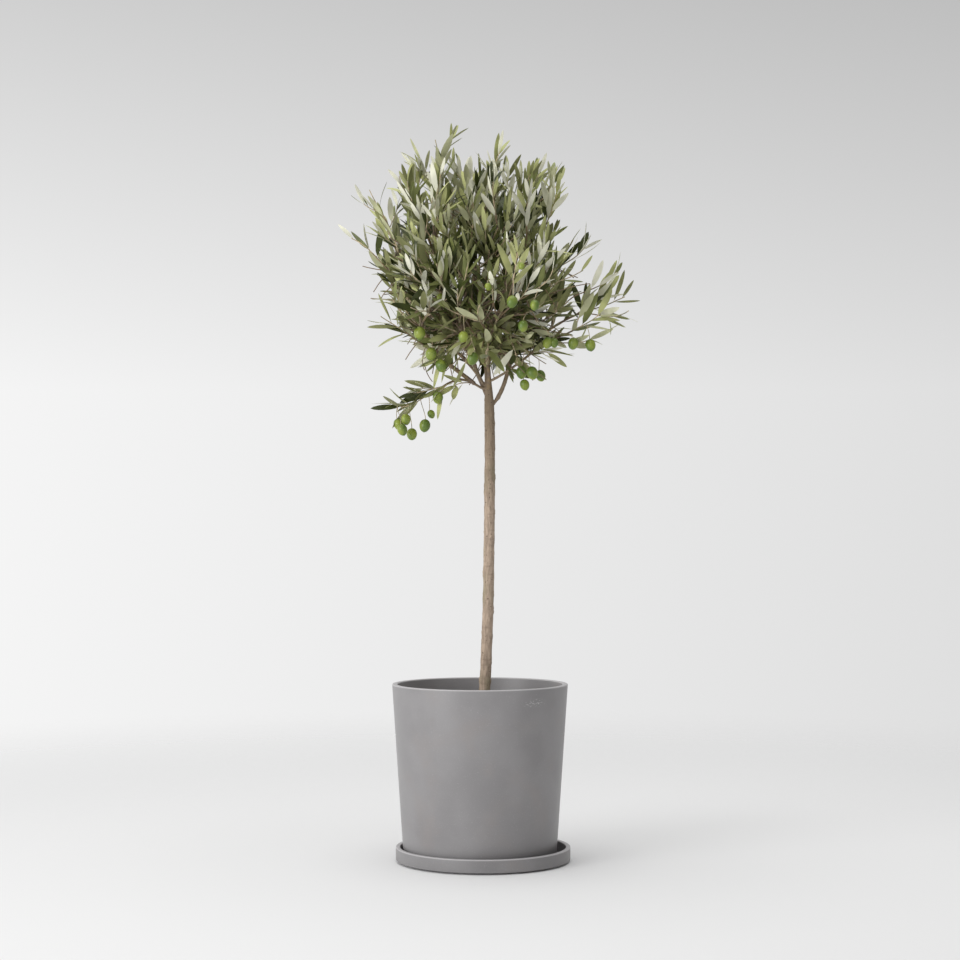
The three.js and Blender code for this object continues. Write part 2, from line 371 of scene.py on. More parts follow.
def draw_up(name, centre, rings):
    """A closed round form raised ring by ring from its underside, as clay is on a wheel. Each
    ring is a radius and a height, and the last is closed over."""
    bpy.ops.object.select_all(action="DESELECT")
    radius, height = rings[0]
    bpy.ops.mesh.primitive_circle_add(
        vertices=ROUND, radius=radius, fill_type="NGON", location=(centre[0], centre[1], height)
    )
    piece = bpy.context.object
    piece.name = piece.data.name = name
    bpy.ops.object.mode_set(mode="EDIT")
    bpy.ops.mesh.select_all(action="SELECT")
    bpy.ops.mesh.region_to_loop()
    for wide, high in rings[1:]:
        bpy.ops.mesh.extrude_region_move(TRANSFORM_OT_translate={"value": (0, 0, high - height)})
        grown = wide / radius
        middle = (centre[0], centre[1], high)
        bpy.ops.transform.resize(value=(grown, grown, 1), center_override=middle)
        radius, height = wide, high
    bpy.ops.mesh.edge_face_add()
    bpy.ops.mesh.select_all(action="SELECT")
    bpy.ops.mesh.normals_make_consistent(inside=False)
    bpy.ops.object.mode_set(mode="OBJECT")
    bpy.ops.object.transform_apply(location=True, rotation=True, scale=True)
    return piece


def vessel(name, node, foot, wall, floor, lip, recess, material):
    """A round vessel the size of its node, with a rounded lip and foot."""
    low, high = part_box(node)
    rim = (high.x - low.x) / 2
    foot_radius = rim * foot
    lean = (rim - foot_radius) / (high.z - low.z)
    rings = [
        (foot_radius - 3 * recess, low.z),
        (foot_radius - 3 * recess, low.z + recess),
        (foot_radius, low.z + recess),
        (rim, high.z),
        (rim - wall, high.z),
        (foot_radius - wall + lean * floor, low.z + floor),
    ]
    piece = draw_up(name, (low + high) / 2, rings)
    sharp = math.radians(40)
    apply_modifier(piece, "BEVEL", width=lip, segments=5, limit_method="ANGLE", angle_limit=sharp)
    shade(piece, 40)
    piece.data.materials.append(material)
    finish_piece(piece, [node])


# ---- Compost ----------------------------------------------------------------------------------


def compost(settings):
    """Peaty potting compost: crumbly and dark, paler where it has dried."""
    material, tree, shader, place = new_material("potting_compost", 0.95, 0.2)
    clods = speckle(tree, place, 9 * MM, 6)
    fibre = speckle(tree, place, 2 * MM, 3, low=0.5, high=0.75)
    base = laid_over(tree, list(settings.dark), list(settings.light), clods, 0.6)
    base = laid_over(tree, base, list(settings.light), fibre, 0.5)
    tree.links.new(base, shader.inputs["Base Color"])
    fine_relief(tree, shader, place, 3 * MM, 6, 1.2 * MM)
    return material


def rough_height(x, y, grain):
    """How far the compost rises or sinks at a place."""
    broad = noise.noise(Vector((x, y, 0)) / (45 * MM))
    fine = noise.fractal(Vector((x, y, 1)) / (9 * MM), 1.0, 2.0, 3)
    return grain * (0.8 * broad + 0.45 * fine)


def build_soil(settings):
    low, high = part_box("soil")
    centre = (low + high) / 2
    radius = (high.x - low.x) / 2 + 0.2 * MM
    top = high.z - 2 * MM
    bed = 60 * MM  # how deep the piece reaches below its surface
    rings = [(radius - 4 * MM, top - bed), (radius, top)]
    rings += [(radius * k, top) for k in np.linspace(0.97, 0.03, 34)]
    piece = draw_up("soil_surface", centre, rings)
    for vertex in piece.data.vertices:
        if vertex.co.z > top - MM:
            vertex.co.z += rough_height(vertex.co.x, vertex.co.y, settings.grain)
    shade(piece, 60)
    material = compost(settings)
    piece.data.materials.append(material)
    finish_piece(piece, ["soil"])

    rng = np.random.default_rng(3)
    bm = bmesh.new()
    for _ in range(settings.crumbs):
        away = (radius - 5 * MM) * math.sqrt(rng.random())
        angle = rng.uniform(0, 2 * math.pi)
        x, y = away * math.cos(angle), away * math.sin(angle)
        size = rng.uniform(0.8, 1) ** 3 * 3 * MM * rng.choice([0.6, 1, 1, 1.5])
        z = top + rough_height(x, y, settings.grain) + 0.25 * size
        lump = bmesh.ops.create_icosphere(bm, subdivisions=1, radius=size)["verts"]
        for vertex in lump:
            vertex.co *= rng.uniform(0.6, 1.1)
            vertex.co.z *= 0.7
            vertex.co += Vector((x + centre.x, y + centre.y, z))
    mesh = bpy.data.meshes.new("soil_crumbs")
    bm.to_mesh(mesh)
    bm.free()
    crumbs = bpy.data.objects.new("soil_crumbs", mesh)
    bpy.context.scene.collection.objects.link(crumbs)
    mesh.materials.append(material)
    finish_piece(crumbs)


# ---- Stem and boughs --------------------------------------------------------------------------


STEEP = 0.5  # a limb that rises more than this, for each unit of its length, is steep
LEVEL = 0.7  # and one that rises less than this is turned to run away from the stem
STEM_CUTS, BOUGH_CUTS = 40, 14  # how many cuts give a limb's middle line


def centreline(node, cuts):
    """A limb's middle line and its radii, from flat cuts through its node. The line of a steep
    limb runs upwards, and that of a level one runs away from the stem."""
    places = np.array([v.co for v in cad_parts[node].data.vertices])
    middle = places.mean(0)
    axis = np.linalg.svd(places - middle, full_matrices=False)[2][0]
    if abs(axis[2]) > STEEP:
        axis *= math.copysign(1, axis[2])
    along = (places - middle) @ axis
    line, radii = [], []
    for part in np.linspace(along.min(), along.max(), cuts + 2)[1:-1]:
        bm = bmesh.new()
        bm.from_mesh(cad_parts[node].data)
        cut = bmesh.ops.bisect_plane(
            bm,
            geom=bm.verts[:] + bm.edges[:] + bm.faces[:],
            plane_co=middle + axis * part,
            plane_no=axis,
        )["geom_cut"]
        ring = np.array([g.co for g in cut if isinstance(g, bmesh.types.BMVert)])
        bm.free()
        line.append(ring.mean(0))
        radii.append(np.linalg.norm(ring - ring.mean(0), axis=1).min() * 1.03)
    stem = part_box("trunk")[0].x
    if abs(axis[2]) < LEVEL and abs(line[0][0] - stem) > abs(line[-1][0] - stem):
        line, radii = line[::-1], radii[::-1]
    return np.array(line), np.array(radii)


def bark_material(settings):
    """Young olive bark: smooth and grey-brown, with a greenish film, fine furrows along the
    stem, small pale pores and dark pits. It is redder towards the fork."""
    material, tree, shader, place = new_material("young_olive_bark", 0.82, 0.25)
    streaks = speckle(tree, place, 3.2 * MM, 4, stretch=(1, 1, 6))
    rings = speckle(tree, place, 6 * MM, 3, stretch=(4, 4, 1), low=0.5, high=0.72)
    film = speckle(tree, place, 22 * MM, 3, stretch=(1, 1, 2.5), low=0.45, high=0.7)
    pores = speckle(tree, place, 1.5 * MM, 1, low=0.66, high=0.74)
    pits = speckle(tree, place, 4 * MM, 1, low=0.69, high=0.75)
    height = add(tree, "ShaderNodeSeparateXYZ", {0: place}).outputs["Z"]
    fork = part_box("bough_right")[0].z
    inputs = {"Value": height, "From Min": fork - 0.22, "From Max": fork, "To Max": 0.8}
    redder = add(tree, "ShaderNodeMapRange", inputs, interpolation_type="SMOOTHSTEP").outputs[0]
    base = laid_over(tree, list(settings.bark), list(settings.bark_dark), streaks, 0.5)
    for colour, pattern, strength in (
        (settings.bark_dark, rings, 0.35),
        (settings.bark_green, film, 0.6),
        (settings.bark_red, redder, 1),
        (settings.shoot, pores, 0.35),
        (settings.scar, pits, 0.8),
    ):
        base = laid_over(tree, base, list(colour), pattern, strength)
    tree.links.new(base, shader.inputs["Base Color"])
    furrows = add(tree, "ShaderNodeMapping", {"Vector": place, "Scale": (1, 1, 0.18)}).outputs[0]
    fine_relief(tree, shader, furrows, 1.3 * MM, 5, 0.35 * MM, 0.8)
    return material


def tube(line, radii):
    """A limb as a curve that is as wide at each point as its radius."""
    curve = bpy.data.curves.new("limb", "CURVE")
    curve.dimensions = "3D"
    curve.bevel_depth = 1
    curve.bevel_resolution = 6
    curve.use_fill_caps = True
    spline = curve.splines.new("POLY")
    spline.points.add(len(line) - 1)
    for point, place, radius in zip(spline.points, line, radii):
        point.co = (*place, 1)
        point.radius = radius
    limb = bpy.data.objects.new("limb", curve)
    bpy.context.scene.collection.objects.link(limb)
    return limb


def limb_lines():
    """The stem's and each bough's line, with the boughs begun inside the stem."""
    stem, stem_radii = centreline("trunk", STEM_CUTS)
    foot = stem[0] - UP * (stem[0][2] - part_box("soil")[1].z + 8 * MM)
    lines = {"trunk": (np.vstack([foot, stem]), np.append(stem_radii[0] * 1.25, stem_radii))}
    for node in LIMBS[1:]:
        line, radii = centreline(node, BOUGH_CUTS)
        back = unit(line[0] - line[1]) * 6 * MM
        near = stem[np.argmin(np.linalg.norm(stem - (line[0] + back), axis=1))]
        start = 0.5 * (near + line[0] + back)
        lines[node] = (np.vstack([near, start, line]), np.append(radii[:1].repeat(2), radii))
    return lines


def joined_limbs(lines, stubs, rng):
    """The stem and boughs, with cut stubs on the stem, as one mesh that still overlaps."""
    limbs = [tube(line, radii) for line, radii in lines.values()]
    stem, stem_radii = lines["trunk"]
    for _ in range(stubs):
        at = rng.integers(4, len(stem) - 8)
        out = unit(np.array([*rng.normal(size=2), 0.8]))
        tip = stem[at] + out * (stem_radii[at] * 1.15 + rng.uniform(2, 5) * MM)
        limbs.append(tube([stem[at], tip], [1.8 * MM, 1.3 * MM]))
    bpy.ops.object.select_all(action="DESELECT")
    for limb in limbs:
        limb.select_set(True)
    bpy.context.view_layer.objects.active = limbs[0]
    bpy.ops.object.convert(target="MESH")
    bpy.ops.object.join()
    piece = bpy.context.object
    piece.name = piece.data.name = "stem_and_boughs"
    return piece


def nearest(places):
    """A tree that finds the nearest of some places."""
    tree = KDTree(len(places))
    for i, place in enumerate(places):
        tree.insert(place, i)
    tree.balance()
    return tree


def build_wood(settings):
    rng = np.random.default_rng(11)
    lines = limb_lines()
    piece = joined_limbs(lines, settings.stubs, rng)
    apply_modifier(piece, "REMESH", mode="VOXEL", voxel_size=settings.voxel)
    apply_modifier(piece, "SMOOTH", iterations=4, factor=0.5)

    tree = nearest(np.vstack([line for line, _ in lines.values()]))
    radii = np.concatenate([widths for _, widths in lines.values()])
    stem, stem_radii = lines["trunk"]
    knots = []
    for _ in range(settings.knots):
        at = rng.integers(3, len(stem) - 10)
        angle = rng.uniform(0, 2 * math.pi)
        out = np.array([math.cos(angle), math.sin(angle), 0])
        knots.append((Vector(stem[at] + out * stem_radii[at]), rng.uniform(3, 5.5) * MM))
    vertices = piece.data.vertices
    places, normals = np.zeros(3 * len(vertices)), np.zeros(3 * len(vertices))
    vertices.foreach_get("co", places)
    vertices.foreach_get("normal", normals)
    places, normals = places.reshape(-1, 3), normals.reshape(-1, 3)
    for i, place in enumerate([Vector(p) for p in places]):
        height = bark_height(place, radii[tree.find(place)[1]], settings, knots)
        places[i] += normals[i] * height
    vertices.foreach_set("co", places.ravel())
    piece.data.update()
    shade(piece, 180)
    piece.data.materials.append(bark_material(settings))
    finish_piece(piece, LIMBS)


def bark_height(place, radius, settings, knots):
    """How far the bark stands out at a place: furrows, fine grain, and knots with sunken eyes."""
    thick = min(radius / (9 * MM), 1)
    along = Vector((place.x, place.y, place.z * 0.16)) / (2.6 * MM)
    furrow = -abs(noise.noise(along)) * 1.4 + 0.4
    swell = noise.noise(Vector((place.x, place.y, place.z * 0.6)) / (11 * MM))
    lump = max(noise.noise(Vector((place.x, place.y, place.z * 0.8)) / (7 * MM)) - 0.25, 0)
    fine = noise.noise(Vector((place.x, place.y, place.z * 0.5)) / (1.4 * MM))
    height = settings.relief * thick * (furrow + 1.9 * swell + 4 * lump + 0.4 * fine)
    for knot, size in knots:
        away = (place - knot).length / size
        if away < 2:
            rim = math.exp(-((away / 0.95) ** 2))
            eye = math.exp(-((away / 0.42) ** 2))
            height += size * (0.42 * rim - 0.45 * eye)
    return height


# ---- Growth -----------------------------------------------------------------------------------

# Where leading shoots end, as shares of a mass's box from left to right, front to back and bottom
# to top, with how strongly each rises at its tip.
LEADERS = {
    "spire_left": [((0.40, 0.45, 0.44), 2.2), ((0.12, 0.5, 0.06), 1.4)],
    "shoulder_front_left": [((0.12, 0.5, 0.62), 1.3)],
    "waist_right": [((0.84, 0.4, 0.78), 0.9), ((0.70, 0.5, 0.84), 1.2)],
    "spire_middle": [((0.62, 0.4, 0.55), 1.8), ((0.30, 0.5, 0.25), 1.4), ((0.80, 0.6, 0.10), 1.2)],
    "spire_right": [((0.30, 0.45, 0.25), 1.6), ((0.75, 0.45, 0.0), 1.0)],
    "spray_left": [((0.57, 0.5, 0.80), 1.3), ((0.26, 0.5, 0.08), 0.4)],
    "spray_right": [((0.60, 0.4, 0.40), 0.6), ((0.30, 0.6, 0.1), 0.9), ((0.85, 0.5, 0.0), 0.6)],
    "spray_low_right": [((0.80, 0.5, 0.62), 0.5), ((0.42, 0.35, 0.55), 0.7), ((0.40, 0.6, 0.2), 0.2)],
    "spray_low_left": [
        ((0.22, 0.45, 0.46), 0.0), ((0.34, 0.6, 0.52), 0.9), ((0.55, 0.5, 0.72), 0.7),
        ((0.84, 0.35, 0.62), -0.8), ((1.05, 0.5, 0.72), -0.6),
    ],
    "skirt_front_left": [
        ((0.64, 0.4, 0.00), -0.6), ((0.80, 0.4, -0.12), -0.7), ((0.95, 0.5, -0.18), -0.8),
        ((0.72, 0.6, -0.20), -0.8), ((0.02, 0.5, 0.45), 0.3),
    ],
    "skirt_front_right": [
        ((0.15, 0.5, -0.08), -0.7), ((0.40, 0.4, 0.0), -0.5), ((0.75, 0.4, -0.08), -0.5),
    ],
    "skirt_right": [((0.20, 0.3, -0.10), -0.6), ((0.42, 0.3, -0.02), -0.5), ((0.70, 0.4, 0.25), 0.0)],
    "skirt_back_left": [((0.60, 0.5, 0.08), -0.3)],
    "skirt_back_right": [((0.50, 0.5, 0.08), -0.3)],
}

# Sprays whose shoots leave a bough that runs right through them, and how short those shoots are.
SHORT = {"spray_low_left": 45 * MM}

# Masses with wider gaps between their shoots, and how much wider.
THIN = {
    "waist_left": 1.6,
    "waist_right": 2.2,
    "waist_back_left": 1.2,
    "waist_back_right": 1.2,
    "shoulder_right": 1.5,
    "skirt_front_left": 1.2,
    "shoulder_front_right": 1.2,
    "shoulder_back_right": 1.2,
    "shoulder_front_left": 1.1,
    "shoulder_back_left": 1.15,
}


class Crown:
    """The crown's masses, and where a place lies in them."""

    def __init__(self):
        self.trees = {}
        for name in MASSES:
            bm = bmesh.new()
            bm.from_mesh(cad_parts[name].data)
            bmesh.ops.remove_doubles(bm, verts=bm.verts, dist=1e-6)
            self.trees[name] = BVHTree.FromBMesh(bm)
            bm.free()
        self.boxes = {n: [np.array(c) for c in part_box(n)] for n in MASSES}
        self.round_masses = [n for n in MASSES if n not in OUTLYING]
        low = np.min([self.boxes[n][0] for n in self.round_masses], axis=0)
        high = np.max([self.boxes[n][1] for n in self.round_masses], axis=0)
        self.centre = (low + high) / 2 - UP * 0.1 * (high[2] - low[2])
        self.half = (high - low) / 2
        self.low, self.high = low[2], high[2]

    def outside(self, place):
        """How far a place is outside every mass. It is below 0 inside one."""
        least = 1e9
        for tree in self.trees.values():
            near, normal, _, away = tree.find_nearest(Vector(place))
            if (Vector(place) - near).dot(normal) < 0:
                away = -away
            least = min(least, away)
        return least

    def depth(self, place):
        """0 at the crown's middle and about 1 at its outline."""
        return np.linalg.norm((place - self.centre) / self.half)

    def rise(self, place):
        """0 at the crown's foot and 1 at its top."""
        return (place[2] - self.low) / (self.high - self.low)

    def foot(self, place):
        """1 at the crown's foot, and 0 from a third of the way up."""
        return smooth(0.3, 0.05, self.rise(place))

    def outward(self, place):
        return unit((place - self.centre) / self.half)


class Wood:
    """The tree's wood as points, each with the one that it grew from and the way it points."""

    def __init__(self):
        self.places, self.parents, self.ways, self.lines = [], [], [], []

    def line(self, points, parent, order):
        """Adds a line of points that leaves the point numbered parent."""
        numbers = []
        for i, place in enumerate(points):
            before = points[i - 1] if i else (self.places[parent] if parent is not None else place - UP)
            self.places.append(np.array(place))
            self.parents.append(parent)
            self.ways.append(unit(place - before))
            parent = len(self.places) - 1
            numbers.append(parent)
        self.lines.append((order, numbers))
        return numbers

    def best_start(self, tip, way, reach):
        """The point that a shoot to the tip leaves most naturally: not too near, and ahead."""
        places, ways = np.array(self.places), np.array(self.ways)
        to = tip - places
        away = np.linalg.norm(to, axis=1)
        to = to / np.maximum(away, 1e-9)[:, None]
        turn = 1 - (to * ways).sum(1)
        rise = 1 - to @ way
        cost = away + 1.3 * np.maximum(reach - away, 0) + reach * (0.45 * turn + 0.35 * rise)
        return int(np.argmin(cost))


PULL = 0.36  # how far a line keeps its way at either end, as a share of its length
CROOK, CROOK_SPAN = 2.2, 35 * MM  # how many mm a line wanders, and about how long a bend is


def arc(start, leave, end, arrive, step, rng):
    """Points of a smooth, slightly crooked line between two places."""
    far = np.linalg.norm(end - start)
    count = max(3, int(math.ceil(far / step)))
    first, second = start + leave * far * PULL, end - arrive * far * PULL
    drift = Vector(rng.uniform(-50, 50, 3))
    points = []
    for i in range(1, count + 1):
        t = i / count
        s = 1 - t
        place = s**3 * start + 3 * s * s * t * first + 3 * s * t * t * second + t**3 * end
        crook = np.array(noise.noise_vector(Vector(place) / CROOK_SPAN + drift))
        points.append(place + crook * CROOK * MM * math.sin(math.pi * t))
    return points


def rising(crown, place, rng, lift=None):
    """The way a shoot's tip points: out from the crown's middle and up to the light."""
    off = (place - crown.centre) * [1, 1, 0] / crown.half
    spread = min(1.3 * np.linalg.norm(off), 1)
    level = unit(off + 1e-6)
    if lift is None:
        lift = -0.3 + 1.35 * smooth(0.02, 0.42, crown.rise(place))
        return unit(level * (0.15 + 0.38 * spread) + UP * lift + rng.normal(0, 0.17, 3))
    return unit(level * 0.6 + UP * lift + rng.normal(0, 0.1, 3))


TRIES = 12000  # places tried for a shoot's tip


def crown_tips(crown, settings, rng):
    """Tips scattered evenly through the round masses, then the sprays' own leading tips."""
    boxes = [crown.boxes[n] for n in crown.round_masses]
    sizes = np.array([np.prod(high - low) for low, high in boxes])
    chosen = rng.choice(len(boxes), TRIES, p=sizes / sizes.sum())
    shares = rng.random((TRIES, 3))
    tips, ways = np.empty((0, 3)), []
    for number, part in zip(chosen, shares):
        low, high = boxes[number]
        place = low + (high - low) * part
        gap = settings.spacing * THIN.get(crown.round_masses[number], 1)
        gap *= 1.45 - 0.45 * smooth(0.3, 0.6, crown.depth(place))
        if len(tips) and ((tips - place) ** 2).sum(1).min() < gap * gap:
            continue
        way = rising(crown, place, rng)
        slack = 2 * MM + 8 * MM * crown.foot(place)
        if crown.outside(place) > -4 * MM or crown.outside(place + way * settings.inset) > slack:
            continue
        tips = np.vstack([tips, place])
        ways.append(way)
    leaders = []
    for name, ends in LEADERS.items():
        low, high = crown.boxes[name]
        for part, lift in ends:
            place = low + (high - low) * np.array(part)
            reach = SHORT.get(name, settings.reach)
            leaders.append((place, rising(crown, place, rng, lift), reach))
    return [(tip, way, settings.reach) for tip, way in zip(tips, ways)], leaders


LIMB, BOUGH, SHOOT, SIDE, SPUR = range(5)  # the orders of wood


def grow(settings):
    """Grows the crown. Gives the crown, its wood, the points of each shoot and of each side
    shoot, and how many of the shoots come before the sprays' leading ones."""
    rng = np.random.default_rng(settings.seed)
    crown, wood = Crown(), Wood()
    lines = limb_lines()
    stem = lines["trunk"][0]
    stem_numbers = wood.line(list(stem[len(stem) // 2 :]), None, LIMB)
    for node in LIMBS[1:]:
        line = lines[node][0]
        gaps = [np.linalg.norm(wood.places[n] - line[0]) for n in stem_numbers]
        wood.line(list(line[1:]), stem_numbers[int(np.argmin(gaps))], LIMB)

    def reach_to(place, way, reach, follow, turn, order):
        """Grows a line to a place from wherever it leaves the wood most naturally. It follows
        the wood there at first, and turns to its goal."""
        start = wood.best_start(place, way, reach)
        leave = unit(wood.ways[start] * follow + unit(place - wood.places[start]) * turn)
        return wood.line(arc(wood.places[start], leave, place, way, settings.step, rng), start, order)

    goals = []
    for name in crown.round_masses:
        low, high = crown.boxes[name]
        goal = (low + high) / 2
        goals.append(goal - crown.outward(goal) * 12 * MM)
    goals.sort(key=lambda g: np.linalg.norm(g - stem[-1]))
    for goal in goals:
        reach_to(goal, unit(crown.outward(goal) + UP * 0.8), 80 * MM, 0.9, 0.7, BOUGH)

    tips, leaders = crown_tips(crown, settings, rng)
    tips.sort(key=lambda t: crown.depth(t[0]))
    shoots = [reach_to(*tip, 0.8, 0.8, SHOOT) for tip in tips + leaders]

    sides = []
    for number, shoot in enumerate(shoots):
        count = rng.integers(1, 4) if len(shoot) > 8 else rng.integers(0, 2)
        if number >= len(tips):
            count = min(count, 1)
        for _ in range(count):
            at = shoot[int(rng.uniform(0.3, 0.85) * (len(shoot) - 1))]
            start, way = wood.places[at], wood.ways[at]
            if crown.depth(start) < 0.4:
                continue
            across = unit(np.cross(way, rng.normal(size=3)))
            leave = unit(way * 0.7 + across * 0.75)
            end_way = unit(leave + UP * 0.35 + crown.outward(start) * 0.2)
            end = start + unit(leave + end_way) * rng.uniform(28, 70) * MM
            if crown.outside(end + end_way * settings.inset * 0.8) > 4 * MM:
                continue
            sides.append(wood.line(arc(start, leave, end, end_way, settings.step, rng), at, SIDE))

    inner = [
        i
        for i, place in enumerate(wood.places)
        if crown.depth(place) < 0.75 and crown.rise(place) < 0.5 and place[2] > crown.low
    ]
    for at in rng.choice(inner, settings.spurs):
        start, way = wood.places[at], wood.ways[at]
        leave = unit(way * 0.4 + unit(rng.normal(size=3)))
        end_way = unit(leave + rng.normal(0, 0.4, 3))
        end = start + unit(leave + end_way) * rng.uniform(20, 85) * MM
        wood.line(arc(start, leave, end, end_way, settings.step, rng), at, SPUR)
    return crown, wood, shoots, sides, len(tips)


PIPE = 2.35  # the power of its radius that a branch shares out among those that it carries
THICKEST = 3.8 * MM  # the greatest radius of a twig or bough inside the crown


def wood_radii(wood, settings):
    """Each point's radius, from those of all that it carries."""
    tip = settings.tip_radius**PIPE
    carried = np.zeros(len(wood.places))
    for i in reversed(range(len(wood.places))):
        carried[i] = max(carried[i], tip)
        if wood.parents[i] is not None:
            carried[wood.parents[i]] += carried[i] + 0.1 * tip
    return np.minimum(carried ** (1 / PIPE), THICKEST)


def tubes(runs, sides):
    """Closed tubes with a number of sides along runs of places and radii, as one set of points
    and faces."""
    points, faces = [], []
    turns = np.linspace(0, 2 * math.pi, sides, endpoint=False)
    for line, radii in runs:
        line = np.array(line)
        ways = np.gradient(line, axis=0)
        across = unit(np.cross(ways[0], [0.3, 0.9, 0.2]))
        first = len(points)
        for place, way, radius in zip(line, ways, radii):
            way = unit(way)
            across = unit(across - way * across.dot(way))
            other = np.cross(way, across)
            points += [place + radius * (math.cos(a) * across + math.sin(a) * other) for a in turns]
        for ring in range(len(line) - 1):
            a, b = first + ring * sides, first + (ring + 1) * sides
            for k in range(sides):
                after = (k + 1) % sides
                faces.append((a + k, a + after, b + after, b + k))
        last = len(points) - sides
        faces.append(tuple(range(first + sides - 1, first - 1, -1)))
        faces.append(tuple(range(last, last + sides)))
    return points, faces


def twig_material(name, base_colour, patch_colour, patch_size):
    """Smooth young olive bark: matt, with soft patches of a second colour."""
    material, tree, shader, place = new_material(name, 0.75, 0.3)
    patches = speckle(tree, place, patch_size)
    base = laid_over(tree, list(base_colour), list(patch_colour), patches)
    tree.links.new(base, shader.inputs["Base Color"])
    return material


def build_twigs(grown, settings, growth):
    """Bare boughs and twigs in one piece, and leafy shoots in another. A shoot's older half
    goes with the bare ones."""
    wood = grown[1]
    radii = wood_radii(wood, growth)
    old, young = [], []
    for order, numbers in wood.lines:
        if order == LIMB:
            continue
        start = wood.parents[numbers[0]]
        run = [start] + numbers
        line = [wood.places[n] for n in run]
        widths = [min(radii[start], radii[numbers[0]] * 1.15)] + [radii[n] for n in numbers]
        if order in (BOUGH, SPUR):
            old.append((line, widths))
            continue
        split = len(run) // 2 if order == SHOOT else 0
        if split >= 2:
            old.append((line[: split + 1], widths[: split + 1]))
        young.append((line[split:], widths[split:]))
    brown = twig_material("bare_olive_twig", settings.twig, settings.bark_dark, 12 * MM)
    pale = twig_material("young_olive_shoot", settings.shoot, settings.bark_green, 9 * MM)
    for name, runs, material, count in (
        ("bare_twigs", old, brown, 7),
        ("leafy_shoots", young, pale, 6),
    ):
        piece = mesh_piece(name, *tubes(runs, count), [material])
        shade(piece, 60)
        finish_piece(piece)


# ---- Leaves -----------------------------------------------------------------------------------

STATIONS = np.array([0.0, 0.07, 0.2, 0.38, 0.57, 0.75, 0.9, 1.0])  # along a leaf, from its stalk
TOPS, UNDERS = 3, 3  # how many upper and lower tints there are


def blade_width(s):
    """A leaf's half width at a share of its length: a lance-shaped blade on a short stalk."""
    blade = max((s - STATIONS[1]) / (1 - STATIONS[1]), 0)
    return 0.5 * max(math.sin(math.pi * blade**0.9) ** 0.62 if 0 < blade < 1 else 0, 0.05)


class Leaves:
    """Leaves gathered as arrays: where each starts, how it lies, and its size and tint."""

    def __init__(self, settings):
        self.settings = settings
        self.points, self.faces, self.kinds = [], [], []

    def add(self, base, axis, normal, size, slim, bend, twist, fold, top, under):
        side = np.cross(normal, axis)
        first = len(self.points)
        place = base
        wide = size * slim
        for k, s in enumerate(STATIONS):
            lean = bend * s
            ahead = axis * math.cos(lean) + normal * math.sin(lean)
            above = normal * math.cos(lean) - axis * math.sin(lean)
            if k:
                place = place + ahead * size * (s - STATIONS[k - 1])
            if s == 1.0:
                self.points.append(place)
                break
            roll = twist * s
            over = side * math.cos(roll) + above * math.sin(roll)
            above = above * math.cos(roll) - side * math.sin(roll)
            half = max(wide * blade_width(s), 0.45 * MM)
            thick = self.settings.thickness * (1.2 if k < 2 else 1 - 0.5 * s)
            ridge = fold * half if k > 1 else 0.3 * MM
            self.points += [
                place - over * half,
                place + above * ridge,
                place + over * half,
                place + above * (ridge - thick),
            ]
        for k in range(len(STATIONS) - 2):
            a, b = first + 4 * k, first + 4 * (k + 1)
            for edge in range(4):
                after = (edge + 1) % 4
                corners = (a + edge, a + after, b + after, b + edge)
                turn = edge % 2  # both sides split from the blade's edge to its midrib
                corners = corners[turn:] + corners[:turn]
                self.faces += [corners[:3], (corners[0], *corners[2:])]
                kind = top if edge < 2 else TOPS + under
                self.kinds += [kind if k else TOPS + UNDERS] * 2
        tip, a = len(self.points) - 1, first + 4 * (len(STATIONS) - 2)
        for edge in range(4):
            self.faces.append((a + edge, a + (edge + 1) % 4, tip))
            self.kinds.append(top if edge < 2 else TOPS + under)
        self.faces.append((first + 3, first + 2, first + 1, first))
        self.kinds.append(TOPS + UNDERS)


def leaf_material(name, base_colour, roughness, specular, vary):
    """An olive leaf's skin: leathery, with a thin wax above and a felt of silvery scales below.
    Its tint drifts a little from leaf to leaf."""
    material, tree, shader, place = new_material(name, roughness, specular)
    drift = speckle(tree, place, 30 * MM, 1, low=0.3, high=0.7)
    darker = [c * (1 - vary) for c in base_colour[:3]] + [1]
    lighter = [min(c * (1 + vary), 1) for c in base_colour[:3]] + [1]
    tree.links.new(laid_over(tree, darker, lighter, drift), shader.inputs["Base Color"])
    return material


def leaf_materials(leaf, wood):
    upper = [("old", leaf.top_old), ("grown", leaf.top_mid), ("young", leaf.top_new)]
    lower = [("old", leaf.under_old), ("grown", leaf.under_mid), ("young", leaf.under_pale)]
    made = [leaf_material(f"waxy_leaf_top_{n}", list(c), 0.45, 0.25, 0.22) for n, c in upper]
    made += [leaf_material(f"felted_leaf_underside_{n}", list(c), 0.75, 0.15, 0.15) for n, c in lower]
    made.append(leaf_material("leaf_stalk", list(wood.shoot), 0.6, 0.3, 0.1))
    return made


# How each kind of shoot bears its leaves: the share of its length that is bare, the share of the
# leaves that stay, how much smaller the youngest are, how far apart the pairs are, and how far a
# leaf's tip may stand out of the masses, with how much further it may at the crown's foot.
LEADING = {"bare": 0.38, "stay": 0.63, "small": 0.12, "apart": 1.3, "out": 24 * MM, "foot": 24 * MM}
INNER = {"bare": 0.38, "stay": 0.9, "small": 0.35, "apart": 1.0, "out": 11 * MM, "foot": 5 * MM}
ASIDE = {"bare": 0.2, "stay": 0.86, "small": 0.35, "apart": 1.0, "out": 11 * MM, "foot": 5 * MM}

LEAFY = 120 * MM  # the greatest length of a shoot that still bears leaves
SMALLEST, LARGEST = 24 * MM, 70 * MM  # the shortest and longest leaf

